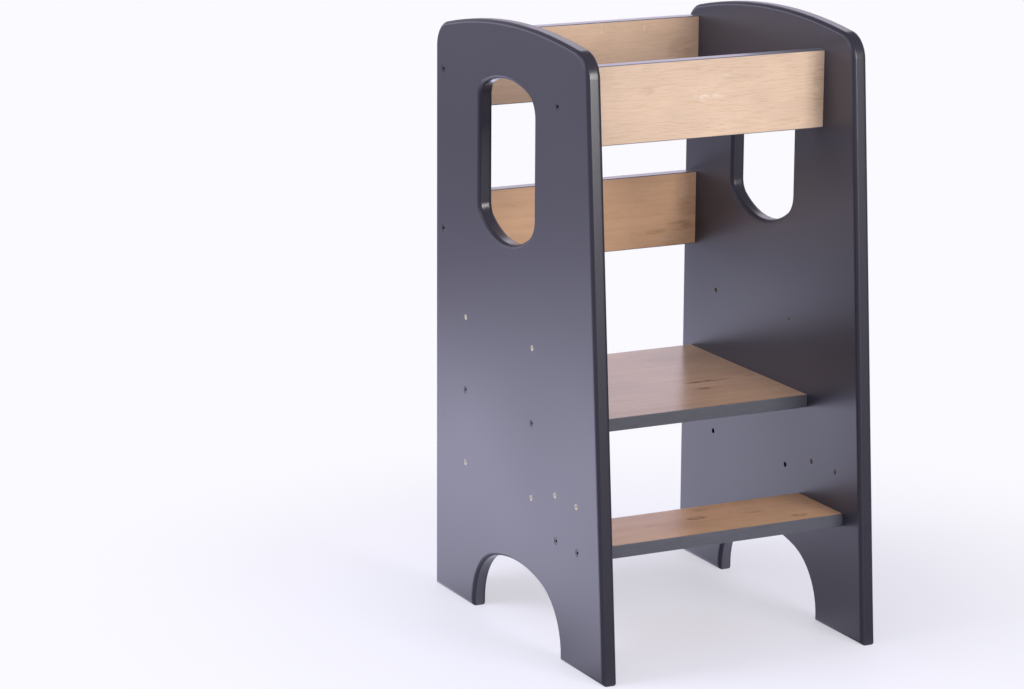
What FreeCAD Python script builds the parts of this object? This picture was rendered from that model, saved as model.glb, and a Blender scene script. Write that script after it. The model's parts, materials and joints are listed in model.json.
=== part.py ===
import FreeCAD, Part
import os
from math import atan2, cos, pi, sin, sqrt

import Sketcher

# A learning tower: two lacquered side panels, joined by three rails, a standing board and a step.
# +X runs from the left panel to the right one, the child steps in from -Y, and the floor is z = 0.
# The origin is on the floor, under the middle of the panels.

doc = FreeCAD.newDocument("learning_tower")

# ---------------------------------------------------------------- driving dimensions

SIZES = [
    # name, millimetres (degrees where the note says so), note
    ("overall_width", 427, "over the outer faces of the side panels"),
    ("panel_thickness", 22, "side panels"),
    ("board_thickness", 18, "rails, standing board and step"),
    ("band_thickness", 1, "edge bands glued on the boards"),
    ("panel_edge_radius", 6, "routed round all edges of the side panels"),
    ("band_edge_radius", 0.8, "scraped corners of the edge bands"),
    ("floor_depth", 521, "panel, front to back on the floor"),
    ("front_setback", 67.5, "how far the front edge leans back over the full height"),
    ("peak_height", 855, "floor to the top of the arched panel"),
    ("top_radius", 1100, "arched top edge"),
    ("top_centre_y", -7, "where the arched top edge is highest"),
    ("top_corner_radius", 38, "front and back top corners"),
    ("arch_half_width", 134.5, "foot arch on the floor"),
    ("arch_centre_y", 2, "middle of the foot arch"),
    ("arch_spring", 8, "upright ends of the foot arch"),
    ("arch_height", 103, "floor to the crown of the foot arch"),
    ("arch_side_radius", 88, "flanks of the foot arch"),
    ("slot_back_y", 122, "back side of the hand slot"),
    ("slot_front_y", -45.5, "front side of the hand slot"),
    ("slot_drop", 80, "top of the panel to the highest point of the hand slot"),
    ("slot_height", 226.5, "hand slot, highest to lowest point"),
    ("slot_bottom_radius", 127, "lower end of the hand slot"),
    ("slot_top_radius", 183, "upper end of the hand slot"),
    ("slot_back_corner", 23, "radius of the two back corners of the hand slot"),
    ("slot_front_corner", 32, "radius of the two front corners of the hand slot"),
    ("rail_height", 107.5, "all three rails, with their bands"),
    ("rail_screw_height", 57, "lower edge of a rail to its screw"),
    ("front_rail_inset", 137.5, "front foot of the panel to the front face of the top front rail"),
    ("back_rail_inset", 35, "back of the panel to the inner face of both back rails"),
    ("top_rail_drop", 149.5, "top of the panel to the lower edge of the two top rails"),
    ("rail_spacing", 229, "between the lower edges of the two back rails"),
    ("platform_inset", 160.5, "front foot of the panel to the front edge of the standing board"),
    ("platform_back_inset", 27, "back of the panel to the back edge of the standing board"),
    ("platform_top_z", 322, "where the child stands"),
    ("platform_screw_inset", 55, "front edge of the board to its front screw"),
    ("platform_screw_spacing", 206.5, "between the two screws at one end"),
    ("platform_pitch", 106, "between the standing heights"),
    ("step_inset", 59, "front foot of the panel to the front edge of the step"),
    ("step_depth", 119, "step, with its bands"),
    ("step_top_z", 175, "upper face of the step"),
    ("step_screw_inset", 18.5, "front edge of the step to its front screw"),
    ("step_screw_spacing", 62.5, "between the two screws at one end"),
    ("step_pitch", 63, "between the step heights"),
    ("screw_length", 50, "from the face of the head to the tip"),
    ("screw_diameter", 7, "neck, and outside of the thread"),
    ("screw_core", 5, "root of the thread"),
    ("screw_neck", 14, "face of the head to the thread"),
    ("screw_tip", 4, "plain point beyond the thread"),
    ("screw_tip_diameter", 3, "flat on the point"),
    ("thread_pitch", 3, "coarse furniture thread"),
    ("head_diameter", 10, "countersunk head"),
    ("head_angle", 60, "degrees, countersunk head"),
    ("head_recess", 0.3, "head below the panel's face"),
    ("hex_socket", 4, "across the flats"),
    ("socket_depth", 3.2, "hex socket"),
    ("tip_room", 2, "pilot hole beyond the screw's tip"),
    ("dowel_diameter", 8, "beech dowel"),
    ("dowel_length", 30, "beech dowel"),
    ("dowel_chamfer", 1, "both ends of the dowel"),
    ("dowel_panel_depth", 11, "blind hole in the side panel"),
    ("dowel_end_gap", 0.5, "glue room at each end of a dowel"),
    ("dowel_offset", 32, "rail's screw to each of its dowels"),
    ("fit_clearance", 0.1, "round a screw or dowel, on the radius"),
]

sheet = doc.addObject("Spreadsheet::Sheet", "sizes")
for row, (name, millimetres, note) in enumerate(SIZES, start=1):
    sheet.set("A%d" % row, name)
    sheet.set("B%d" % row, str(millimetres))
    sheet.set("C%d" % row, note)
    sheet.setAlias("B%d" % row, name)
doc.recompute()


def number(expression):
    """The present value of an expression that is written with the sheet's names."""
    return float(sheet.evalExpression(expression))


# Sizes worked out from the sheet, as expressions that the features are bound to.
HALF_WIDTH = "sizes.overall_width / 2"
INNER_WIDTH = "(sizes.overall_width - 2 * sizes.panel_thickness)"
HALF_DEPTH = "sizes.floor_depth / 2"
HALF_BOARD = "sizes.board_thickness / 2"
SCREW_HOLE = "sizes.screw_diameter / 2 + sizes.fit_clearance"
DOWEL_HOLE = "sizes.dowel_diameter / 2 + sizes.fit_clearance"
HEAD_CONE = "(sizes.head_diameter - sizes.screw_diameter) / 2 / tan(sizes.head_angle / 2 * 1 deg)"
HEAD_FLARE = "2 * sizes.head_recess * tan(sizes.head_angle / 2 * 1 deg)"
SCREW_PILOT = "sizes.head_recess + sizes.screw_length - sizes.panel_thickness + sizes.tip_room"
DOWEL_PILOT = "sizes.dowel_length - sizes.dowel_panel_depth + 2 * sizes.dowel_end_gap"
STEP_SHIFT = "sizes.front_setback * sizes.step_pitch / sizes.peak_height"
SLOT_TOP = "sizes.peak_height - sizes.slot_drop"
SLOT_BOTTOM = SLOT_TOP + " - sizes.slot_height"
PLATFORM_FRONT = "sizes.platform_inset - " + HALF_DEPTH
PLATFORM_DEPTH = "(sizes.floor_depth - sizes.platform_inset - sizes.platform_back_inset)"
STEP_FRONT = "sizes.step_inset - " + HALF_DEPTH
FRONT_RAIL_Y = "sizes.front_rail_inset - " + HALF_DEPTH
BACK_RAIL_Y = HALF_DEPTH + " - sizes.back_rail_inset"
TOP_RAIL_Z = "sizes.peak_height - sizes.top_rail_drop"
LOW_RAIL_Z = TOP_RAIL_Z + " - sizes.rail_spacing"

# Where the screws go through a side panel: (y, z) of each hole.
PLATFORM_SCREW_Y = [
    PLATFORM_FRONT + " + sizes.platform_screw_inset",
    PLATFORM_FRONT + " + sizes.platform_screw_inset + sizes.platform_screw_spacing",
]
STEP_SCREW_Y = [
    STEP_FRONT + " + sizes.step_screw_inset",
    STEP_FRONT + " + sizes.step_screw_inset + sizes.step_screw_spacing",
]
PLATFORM_SCREW_Z = "sizes.platform_top_z - " + HALF_BOARD
STEP_SCREW_Z = "sizes.step_top_z - " + HALF_BOARD
RAILS = {
    # rail: (y of its front face, z of its lower edge)
    "top_front_rail": (FRONT_RAIL_Y, TOP_RAIL_Z),
    "top_back_rail": (BACK_RAIL_Y, TOP_RAIL_Z),
    "lower_back_rail": (BACK_RAIL_Y, LOW_RAIL_Z),
}
RAIL_SCREWS = [(y + " + " + HALF_BOARD, z + " + sizes.rail_screw_height") for y, z in RAILS.values()]
PLATFORM_SCREWS = [(y, PLATFORM_SCREW_Z) for y in PLATFORM_SCREW_Y]
STEP_SCREWS = [(y, STEP_SCREW_Z) for y in STEP_SCREW_Y]
FITTED_SCREWS = RAIL_SCREWS + PLATFORM_SCREWS + STEP_SCREWS
SPARE_HOLES = (
    [(y, PLATFORM_SCREW_Z + " + sizes.platform_pitch") for y in PLATFORM_SCREW_Y]
    + [(y, PLATFORM_SCREW_Z + " - sizes.platform_pitch") for y in PLATFORM_SCREW_Y]
    + [(y + " + " + STEP_SHIFT, STEP_SCREW_Z + " + sizes.step_pitch") for y in STEP_SCREW_Y]
)
DOWEL_SIDES = (" + sizes.dowel_offset", " - sizes.dowel_offset")
RAIL_DOWELS = [(y, z + side) for y, z in RAIL_SCREWS for side in DOWEL_SIDES]

# ---------------------------------------------------------------- sketching helpers

# Sketcher's own numbers for its axes and for the points of a line or an arc.
V_AXIS, H_AXIS = range(-2, 0)
START, END, CENTRE = range(1, 4)
ORIGIN = (H_AXIS, START)


def new_body(label):
    body = doc.addObject("PartDesign::Body", label)
    body.Label = label
    return body


def origin_plane(body, role):
    return next(item for item in body.Origin.OriginFeatures if item.Role == role)


def new_sketch(body, name, role="YZ_Plane", offset=None):
    """A sketch on one of the body's own planes, moved along its normal by an expression."""
    sketch = body.newObject("Sketcher::SketchObject", name)
    sketch.AttachmentSupport = [(origin_plane(body, role), "")]
    sketch.MapMode = "FlatFace"
    if offset:
        sketch.setExpression("AttachmentOffset.Base.z", offset)
    return sketch


def constrain(sketch, *terms):
    return sketch.addConstraint(Sketcher.Constraint(*terms))


def dimension(sketch, name, expression, kind, *refs):
    """A named dimension whose value is bound to the sheet."""
    index = constrain(sketch, kind, *refs, number(expression))
    sketch.renameConstraint(index, name)
    sketch.setExpression("Constraints." + name, expression)


def place_point(sketch, name, geometry, position, across, up):
    """Hold one point of the sketch at (across, up) from the sketch's origin."""
    if across == "0":
        constrain(sketch, "PointOnObject", geometry, position, V_AXIS)
    else:
        dimension(sketch, name + "_across", across, "DistanceX", *ORIGIN, geometry, position)
    if up == "0":
        constrain(sketch, "PointOnObject", geometry, position, H_AXIS)
    else:
        dimension(sketch, name + "_up", up, "DistanceY", *ORIGIN, geometry, position)


def vector(across, up):
    return FreeCAD.Vector(across, up, 0)


def line(sketch, start, end):
    return sketch.addGeometry(Part.LineSegment(vector(*start), vector(*end)))


def arc(sketch, centre, radius, start_angle, end_angle):
    circle = Part.Circle(vector(*centre), FreeCAD.Vector(0, 0, 1), radius)
    return sketch.addGeometry(Part.ArcOfCircle(circle, start_angle, end_angle))


def polygon(sketch, corners):
    """A closed outline through corners that are given as pairs of expressions."""
    points = [(number(across), number(up)) for across, up in corners]
    for index, point in enumerate(points):
        line(sketch, point, points[(index + 1) % len(points)])
    for index, (across, up) in enumerate(corners):
        constrain(sketch, "Coincident", (index - 1) % len(corners), END, index, START)
        place_point(sketch, "corner%d" % index, index, START, across, up)


def circles(sketch, centres, radius):
    """Equal circles with their centres at pairs of expressions."""
    for index, (across, up) in enumerate(centres):
        centre = vector(number(across), number(up))
        sketch.addGeometry(Part.Circle(centre, FreeCAD.Vector(0, 0, 1), number(radius)))
        place_point(sketch, "centre%d" % index, index, CENTRE, across, up)
        if index:
            constrain(sketch, "Equal", 0, index)
    dimension(sketch, "radius", radius, "Radius", 0)


def tangent_chain(sketch, joints):
    """Each joint is (first piece, its end, next piece, its end): the two meet there smoothly."""
    for joint in joints:
        constrain(sketch, "Tangent", *joint)


def feature(body, kind, name, **properties):
    item = body.newObject("PartDesign::" + kind, name)
    for key, value in properties.items():
        if isinstance(value, str) and "sizes." in value:
            item.setExpression(key, value)
        else:
            setattr(item, key, value)
    return item


# ---------------------------------------------------------------- side panels


def draw_outline(sketch):
    """The panel seen from its side: leaning front, arched top, upright back and foot arch."""
    half = number(HALF_DEPTH)
    corner = number("sizes.top_corner_radius")
    top_radius = number("sizes.top_radius")
    top = (number("sizes.top_centre_y"), number("sizes.peak_height - sizes.top_radius"))
    lean = atan2(number("sizes.front_setback"), number("sizes.peak_height"))

    # The back corner touches the upright back edge and the top arc from inside.
    reach = top_radius - corner
    back_y = half - corner
    back = (back_y, top[1] + sqrt(reach ** 2 - (back_y - top[0]) ** 2))
    back_angle = atan2(back[1] - top[1], back[0] - top[0])

    # The front corner does the same with the leaning front edge: walk up that edge, one
    # corner radius inside it, until the distance to the top arc's centre is right.
    along = (sin(lean), cos(lean))
    foot = (-half + corner * cos(lean), -corner * sin(lean))
    gap = (foot[0] - top[0], foot[1] - top[1])
    share = gap[0] * along[0] + gap[1] * along[1]
    climb = -share + sqrt(share ** 2 - (gap[0] ** 2 + gap[1] ** 2 - reach ** 2))
    front = (foot[0] + climb * along[0], foot[1] + climb * along[1])
    front_angle = atan2(front[1] - top[1], front[0] - top[0])
    shoulder = (front[0] - corner * cos(lean), front[1] + corner * sin(lean))

    # The foot arch: two short upright ends, two flanks that carry on from them, and a crown.
    middle = number("sizes.arch_centre_y")
    spread = number("sizes.arch_half_width")
    height = number("sizes.arch_height")
    spring = number("sizes.arch_spring")
    flank = number("sizes.arch_side_radius")
    run = spread - flank
    rise = height - spring
    crown = (run ** 2 + rise ** 2 - flank ** 2) / (2 * (rise - flank))
    flank_angle = atan2(crown - rise, run)

    rear_floor = line(sketch, (middle + spread, 0), (half, 0))
    back_edge = line(sketch, (half, 0), (half, back[1]))
    back_corner = arc(sketch, back, corner, 0, back_angle)
    top_arc = arc(sketch, top, top_radius, back_angle, front_angle)
    front_corner = arc(sketch, front, corner, front_angle, pi - lean)
    front_edge = line(sketch, shoulder, (-half, 0))
    front_floor = line(sketch, (-half, 0), (middle - spread, 0))
    front_end = line(sketch, (middle - spread, 0), (middle - spread, spring))
    front_flank = arc(sketch, (middle - run, spring), flank, pi - flank_angle, pi)
    crown_arc = arc(sketch, (middle, height - crown), crown, flank_angle, pi - flank_angle)
    back_flank = arc(sketch, (middle + run, spring), flank, 0, flank_angle)
    back_end = line(sketch, (middle + spread, spring), (middle + spread, 0))

    constrain(sketch, "Coincident", rear_floor, END, back_edge, START)
    constrain(sketch, "Coincident", front_edge, END, front_floor, START)
    constrain(sketch, "Coincident", front_floor, END, front_end, START)
    constrain(sketch, "Coincident", back_end, END, rear_floor, START)
    tangent_chain(sketch, [
        (back_edge, END, back_corner, START),
        (back_corner, END, top_arc, START),
        (top_arc, END, front_corner, START),
        (front_corner, END, front_edge, START),
        (front_end, END, front_flank, END),
        (front_flank, START, crown_arc, END),
        (crown_arc, START, back_flank, END),
        (back_flank, START, back_end, START),
    ])
    constrain(sketch, "Vertical", back_edge)
    constrain(sketch, "Vertical", front_end)
    constrain(sketch, "Vertical", back_end)
    constrain(sketch, "Equal", back_corner, front_corner)
    constrain(sketch, "Equal", front_flank, back_flank)
    dimension(sketch, "front_spring", "sizes.arch_spring", "DistanceY", *ORIGIN, front_flank, CENTRE)
    dimension(sketch, "back_spring", "sizes.arch_spring", "DistanceY", *ORIGIN, back_flank, CENTRE)
    place_point(sketch, "back_foot", rear_floor, END, HALF_DEPTH, "0")
    place_point(sketch, "front_foot", front_floor, START, "-" + HALF_DEPTH, "0")
    arch_ends = ("sizes.arch_centre_y - sizes.arch_half_width", "sizes.arch_centre_y + sizes.arch_half_width")
    place_point(sketch, "arch_front", front_floor, END, arch_ends[0], "0")
    place_point(sketch, "arch_back", rear_floor, START, arch_ends[1], "0")
    top_arc_z = "sizes.peak_height - sizes.top_radius"
    place_point(sketch, "top_centre", top_arc, CENTRE, "sizes.top_centre_y", top_arc_z)
    dimension(sketch, "top_radius", "sizes.top_radius", "Radius", top_arc)
    dimension(sketch, "corner_radius", "sizes.top_corner_radius", "Radius", back_corner)
    dimension(sketch, "flank_radius", "sizes.arch_side_radius", "Radius", front_flank)

    # Two helper points: the crown of the arch, and the front edge carried up to full height.
    crown_point = sketch.addGeometry(Part.Point(vector(middle, height)), True)
    constrain(sketch, "PointOnObject", crown_point, START, crown_arc)
    place_point(sketch, "arch_crown", crown_point, START, "sizes.arch_centre_y", "sizes.arch_height")
    peak = number("sizes.peak_height")
    setback = number("sizes.front_setback")
    lean_point = sketch.addGeometry(Part.Point(vector(setback - half, peak)), True)
    constrain(sketch, "PointOnObject", lean_point, START, front_edge)
    lean_y = "sizes.front_setback - " + HALF_DEPTH
    place_point(sketch, "lean", lean_point, START, lean_y, "sizes.peak_height")


def draw_slot(sketch):
    """The hand slot: two upright sides, and two shallow arcs that the corners run into."""
    back_y, front_y = number("sizes.slot_back_y"), number("sizes.slot_front_y")
    back_corner, front_corner = number("sizes.slot_back_corner"), number("sizes.slot_front_corner")
    middle = (back_y + front_y) / 2

    def slot_end(tip_z, radius, up):
        """Centres of one end's arc and corners, and the angles where they meet."""
        centre_z = tip_z - up * radius
        back = back_y - back_corner
        front = front_y + front_corner
        back_z = centre_z + up * sqrt((radius - back_corner) ** 2 - (back - middle) ** 2)
        front_z = centre_z + up * sqrt((radius - front_corner) ** 2 - (front - middle) ** 2)
        back_angle = atan2(back_z - centre_z, back - middle)
        front_angle = atan2(front_z - centre_z, front - middle)
        return (middle, centre_z), (back, back_z), (front, front_z), back_angle, front_angle

    top_radius, bottom_radius = number("sizes.slot_top_radius"), number("sizes.slot_bottom_radius")
    top = slot_end(number(SLOT_TOP), top_radius, 1)
    bottom = slot_end(number(SLOT_BOTTOM), bottom_radius, -1)

    back_side = line(sketch, (back_y, bottom[1][1]), (back_y, top[1][1]))
    top_back = arc(sketch, top[1], back_corner, 0, top[3])
    top_arc = arc(sketch, top[0], top_radius, top[3], top[4])
    top_front = arc(sketch, top[2], front_corner, top[4], pi)
    front_side = line(sketch, (front_y, top[2][1]), (front_y, bottom[2][1]))
    bottom_front = arc(sketch, bottom[2], front_corner, -pi, bottom[4])
    bottom_arc = arc(sketch, bottom[0], bottom_radius, bottom[4], bottom[3])
    bottom_back = arc(sketch, bottom[1], back_corner, bottom[3], 0)

    ring = [back_side, top_back, top_arc, top_front, front_side, bottom_front, bottom_arc, bottom_back]
    followers = ring[1:] + ring[:1]
    tangent_chain(sketch, [(piece, END, after, START) for piece, after in zip(ring, followers)])
    constrain(sketch, "Vertical", back_side)
    constrain(sketch, "Vertical", front_side)
    constrain(sketch, "Equal", top_back, bottom_back)
    constrain(sketch, "Equal", top_front, bottom_front)
    dimension(sketch, "back", "sizes.slot_back_y", "DistanceX", *ORIGIN, back_side, START)
    dimension(sketch, "front", "sizes.slot_front_y", "DistanceX", *ORIGIN, front_side, START)
    dimension(sketch, "top_radius", "sizes.slot_top_radius", "Radius", top_arc)
    dimension(sketch, "bottom_radius", "sizes.slot_bottom_radius", "Radius", bottom_arc)
    dimension(sketch, "back_corner", "sizes.slot_back_corner", "Radius", top_back)
    dimension(sketch, "front_corner", "sizes.slot_front_corner", "Radius", top_front)
    across = "(sizes.slot_back_y + sizes.slot_front_y) / 2"
    top_z = SLOT_TOP + " - sizes.slot_top_radius"
    bottom_z = SLOT_BOTTOM + " + sizes.slot_bottom_radius"
    place_point(sketch, "top_centre", top_arc, CENTRE, across, top_z)
    place_point(sketch, "bottom_centre", bottom_arc, CENTRE, across, bottom_z)


def face_edges(shape):
    """Names of the edges that bound the two large faces of a panel."""
    box = shape.BoundBox
    names = []
    for index, edge in enumerate(shape.Edges, start=1):
        flat = edge.BoundBox.XLength < 0.001
        if flat and min(edge.BoundBox.XMin - box.XMin, box.XMax - edge.BoundBox.XMax) < 0.001:
            names.append("Edge%d" % index)
    return names


def make_side_panel(label, inward):
    """The outer face lies on the body's YZ plane; inward is +1 for the left panel, -1 for the right."""
    body = new_body(label)
    body.setExpression("Placement.Base.x", "%d * %s" % (-inward, HALF_WIDTH))

    outline = new_sketch(body, label + "_outline")
    draw_outline(outline)
    blank = feature(body, "Pad", label + "_blank", Profile=outline, Length="sizes.panel_thickness")
    blank.Reversed = inward < 0

    slot = new_sketch(body, label + "_slot_outline")
    draw_slot(slot)
    feature(body, "Pocket", label + "_slot", Profile=slot, Type="ThroughAll", Reversed=inward > 0)
    doc.recompute()

    cut = body.Tip
    feature(body, "Fillet", label + "_rounding", Base=(cut, face_edges(cut.Shape)),
            Radius="sizes.panel_edge_radius")
    doc.recompute()

    screws = new_sketch(body, label + "_screw_centres")
    circles(screws, FITTED_SCREWS, SCREW_HOLE)
    doc.recompute()
    holes = feature(body, "Hole", label + "_screw_holes", Profile=screws, Reversed=inward > 0)
    holes.DepthType = "ThroughAll"
    holes.HoleCutType = "Countersink"
    holes.HoleCutCustomValues = True
    holes.setExpression("Diameter", "2 * (%s)" % SCREW_HOLE)
    holes.setExpression("HoleCutCountersinkAngle", "sizes.head_angle * 1 deg")
    holes.setExpression("HoleCutDiameter", "sizes.head_diameter + 2 * sizes.fit_clearance + " + HEAD_FLARE)

    spares = new_sketch(body, label + "_spare_centres")
    circles(spares, SPARE_HOLES, SCREW_HOLE)
    feature(body, "Pocket", label + "_spare_holes", Profile=spares, Type="ThroughAll", Reversed=inward > 0)

    dowels = new_sketch(body, label + "_dowel_centres", offset="%d * sizes.panel_thickness" % inward)
    circles(dowels, RAIL_DOWELS, DOWEL_HOLE)
    feature(body, "Pocket", label + "_dowel_holes", Profile=dowels, Length="sizes.dowel_panel_depth",
            Reversed=inward < 0)
    return body


# ---------------------------------------------------------------- boards and their edge bands


def make_bar(label, deep, high, y, z):
    """A bar between the panels, deep along Y and high along Z, with its lower front edge at (y, z)."""
    body = new_body(label)
    body.setExpression("Placement.Base.y", y)
    body.setExpression("Placement.Base.z", z)
    section = new_sketch(body, label + "_section")
    polygon(section, [("0", "0"), (deep, "0"), (deep, high), ("0", high)])
    feature(body, "Pad", label + "_bar", Profile=section, Length=INNER_WIDTH, SideType="Symmetric")
    return body


def drill_ends(body, label, drillings):
    """Blind holes in both ends; each drilling is (what for, centres, radius, depth)."""
    pockets = []
    for purpose, centres, radius, depth in drillings:
        sketch = new_sketch(body, "%s_%s_centres" % (label, purpose), offset=INNER_WIDTH + " / 2")
        circles(sketch, centres, radius)
        name = "%s_%s_holes" % (label, purpose)
        pockets.append(feature(body, "Pocket", name, Profile=sketch, Length=depth))
    doc.recompute()
    other_end = feature(body, "Mirrored", label + "_other_end", Originals=pockets)
    other_end.MirrorPlane = (origin_plane(body, "YZ_Plane"), [""])
    body.Tip = other_end


def make_band(label, deep, high, y, z, outer):
    """An edge band with its two long corners scraped on the outer side, which is named."""
    body = make_bar(label, deep, high, y, z)
    doc.recompute()
    bar = body.Tip
    box = bar.Shape.BoundBox
    limit = {"front": box.YMin, "back": box.YMax, "bottom": box.ZMin, "top": box.ZMax}[outer]
    names = []
    for index, edge in enumerate(bar.Shape.Edges, start=1):
        middle = edge.CenterOfMass
        place = middle.y if outer in ("front", "back") else middle.z
        if edge.BoundBox.XLength > 1 and abs(place - limit) < 0.001:
            names.append("Edge%d" % index)
    feature(body, "Fillet", label + "_corners", Base=(bar, names), Radius="sizes.band_edge_radius")
    return body


def make_flat_board(label, front, depth, top, drillings):
    """A level board with a band on its front and back edge."""
    bottom = "%s - sizes.board_thickness" % top
    inner_depth = "%s - 2 * sizes.band_thickness" % depth
    board = make_bar(label + "_board", inner_depth, "sizes.board_thickness",
                     front + " + sizes.band_thickness", bottom)
    drill_ends(board, label, drillings)
    band = ("sizes.band_thickness", "sizes.board_thickness")
    back = "%s + %s - sizes.band_thickness" % (front, depth)
    front_band = make_band(label + "_front_edge_band", *band, front, bottom, "front")
    back_band = make_band(label + "_back_edge_band", *band, back, bottom, "back")
    return [board, front_band, back_band]


def make_rail(label, y, z):
    """An upright board with a band on its lower and upper edge."""
    inner_height = "sizes.rail_height - 2 * sizes.band_thickness"
    board = make_bar(label + "_board", "sizes.board_thickness", inner_height, y,
                     z + " + sizes.band_thickness")
    screw_up = "sizes.rail_screw_height - sizes.band_thickness"
    drill_ends(board, label, [
        ("screw", [(HALF_BOARD, screw_up)], SCREW_HOLE, SCREW_PILOT),
        ("dowel", [(HALF_BOARD, screw_up + side) for side in DOWEL_SIDES], DOWEL_HOLE, DOWEL_PILOT),
    ])
    band = ("sizes.board_thickness", "sizes.band_thickness")
    top = z + " + sizes.rail_height - sizes.band_thickness"
    lower_band = make_band(label + "_lower_edge_band", *band, y, z, "bottom")
    upper_band = make_band(label + "_upper_edge_band", *band, y, top, "top")
    return [board, lower_band, upper_band]


# ---------------------------------------------------------------- screws and dowels


def make_screw():
    """Furniture screw along +X, with the face of its countersunk head at x = 0."""
    body = new_body("screw_master")
    neck, core = "sizes.screw_diameter / 2", "sizes.screw_core / 2"
    thread_end = "sizes.screw_length - sizes.screw_tip"
    profile = new_sketch(body, "screw_profile", "XY_Plane")
    polygon(profile, [
        ("0", "0"),
        ("0", "sizes.head_diameter / 2"),
        (HEAD_CONE, neck),
        (thread_end, neck),
        (thread_end, core),
        ("sizes.screw_length", "sizes.screw_tip_diameter / 2"),
        ("sizes.screw_length", "0"),
    ])
    feature(body, "Revolution", "screw_turned", Profile=profile, ReferenceAxis=(profile, ["H_Axis"]))

    # One groove of the thread, repeated along the screw. The rings between the grooves are the crests.
    outside = neck + " + 1"
    groove = new_sketch(body, "thread_groove", "XY_Plane")
    polygon(groove, [
        ("sizes.screw_neck", outside),
        ("sizes.screw_neck + sizes.thread_pitch / 4", core),
        ("sizes.screw_neck + sizes.thread_pitch / 2", core),
        ("sizes.screw_neck + sizes.thread_pitch * 3 / 4", outside),
    ])
    first = feature(body, "Groove", "thread_first_groove", Profile=groove, ReferenceAxis=(groove, ["H_Axis"]))
    doc.recompute()
    turns = "floor((%s - sizes.screw_neck) / sizes.thread_pitch)" % thread_end
    thread = feature(body, "LinearPattern", "thread_grooves", Originals=[first], Mode="Spacing",
                     Direction=(groove, ["H_Axis"]), Offset="sizes.thread_pitch", Occurrences=turns)
    body.Tip = thread

    socket = new_sketch(body, "socket_hexagon")
    radius = number("sizes.hex_socket") / sqrt(3)
    corners = [(radius * cos(turn * pi / 3), radius * sin(turn * pi / 3)) for turn in range(6)]
    for turn in range(6):
        line(socket, corners[turn], corners[(turn + 1) % 6])
    rim = socket.addGeometry(Part.Circle(vector(0, 0), FreeCAD.Vector(0, 0, 1), radius), True)
    constrain(socket, "Coincident", rim, CENTRE, *ORIGIN)
    for turn in range(6):
        constrain(socket, "Coincident", turn, END, (turn + 1) % 6, START)
        constrain(socket, "PointOnObject", turn, START, rim)
        if turn:
            constrain(socket, "Equal", 0, turn)
    constrain(socket, "PointOnObject", 0, START, H_AXIS)
    dimension(socket, "rim", "sizes.hex_socket / sqrt(3)", "Radius", rim)
    feature(body, "Pocket", "socket", Profile=socket, Length="sizes.socket_depth", Reversed=True)
    return body


def make_dowel():
    """Chamfered dowel along +X, with one end at x = 0."""
    body = new_body("dowel_master")
    radius = "sizes.dowel_diameter / 2"
    small = radius + " - sizes.dowel_chamfer"
    profile = new_sketch(body, "dowel_profile", "XY_Plane")
    polygon(profile, [
        ("0", "0"),
        ("0", small),
        ("sizes.dowel_chamfer", radius),
        ("sizes.dowel_length - sizes.dowel_chamfer", radius),
        ("sizes.dowel_length", small),
        ("sizes.dowel_length", "0"),
    ])
    feature(body, "Revolution", "dowel_turned", Profile=profile, ReferenceAxis=(profile, ["H_Axis"]))
    return body


def make_group(label, master, depth, sides, centres):
    """Copies of a fastener that start at a depth below a panel's outer face and point inwards."""
    copies = []
    for side in sides:
        for y, z in centres:
            copy = doc.addObject("App::Link", "%s_%d" % (label, len(copies) + 1))
            copy.LinkedObject = master
            turned = FreeCAD.Rotation(FreeCAD.Vector(0, 0, 1), 0 if side < 0 else 180)
            copy.Placement = FreeCAD.Placement(FreeCAD.Vector(), turned)
            copy.setExpression("Placement.Base.x", "%d * (%s - (%s))" % (side, HALF_WIDTH, depth))
            copy.setExpression("Placement.Base.y", y)
            copy.setExpression("Placement.Base.z", z)
            copies.append(copy)
    group = doc.addObject("Part::Compound", label)
    group.Label = label
    group.Links = copies
    return group


# ---------------------------------------------------------------- the whole tower

sub_parts = [make_side_panel("left_side_panel", 1), make_side_panel("right_side_panel", -1)]

screw_row = [("sizes.platform_screw_inset - sizes.band_thickness", HALF_BOARD),
             ("sizes.platform_screw_inset + sizes.platform_screw_spacing - sizes.band_thickness", HALF_BOARD)]
sub_parts += make_flat_board("platform", PLATFORM_FRONT, PLATFORM_DEPTH,
                             "sizes.platform_top_z", [("screw", screw_row, SCREW_HOLE, SCREW_PILOT)])
screw_row = [("sizes.step_screw_inset - sizes.band_thickness", HALF_BOARD),
             ("sizes.step_screw_inset + sizes.step_screw_spacing - sizes.band_thickness", HALF_BOARD)]
sub_parts += make_flat_board("step", STEP_FRONT, "sizes.step_depth",
                             "sizes.step_top_z", [("screw", screw_row, SCREW_HOLE, SCREW_PILOT)])
for rail, (rail_y, rail_z) in RAILS.items():
    sub_parts += make_rail(rail, rail_y, rail_z)

screw = make_screw()
dowel = make_dowel()
LEFT, RIGHT = -1, 1
for rail, centre in zip(RAILS, RAIL_SCREWS):
    sub_parts.append(make_group(rail + "_screws", screw, "sizes.head_recess", (LEFT, RIGHT), [centre]))
dowel_start = "sizes.panel_thickness - sizes.dowel_panel_depth + sizes.dowel_end_gap"
for index, rail in enumerate(RAILS):
    pair = RAIL_DOWELS[2 * index:2 * index + 2]
    sub_parts.append(make_group(rail + "_dowels", dowel, dowel_start, (LEFT, RIGHT), pair))
for name, centres in (("platform_screws", PLATFORM_SCREWS), ("step_screws", STEP_SCREWS)):
    sub_parts.append(make_group("left_" + name, screw, "sizes.head_recess", (LEFT,), centres))
    sub_parts.append(make_group("right_" + name, screw, "sizes.head_recess", (RIGHT,), centres))
doc.recompute()

# ---------------------------------------------------------------- checks and export

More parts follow.
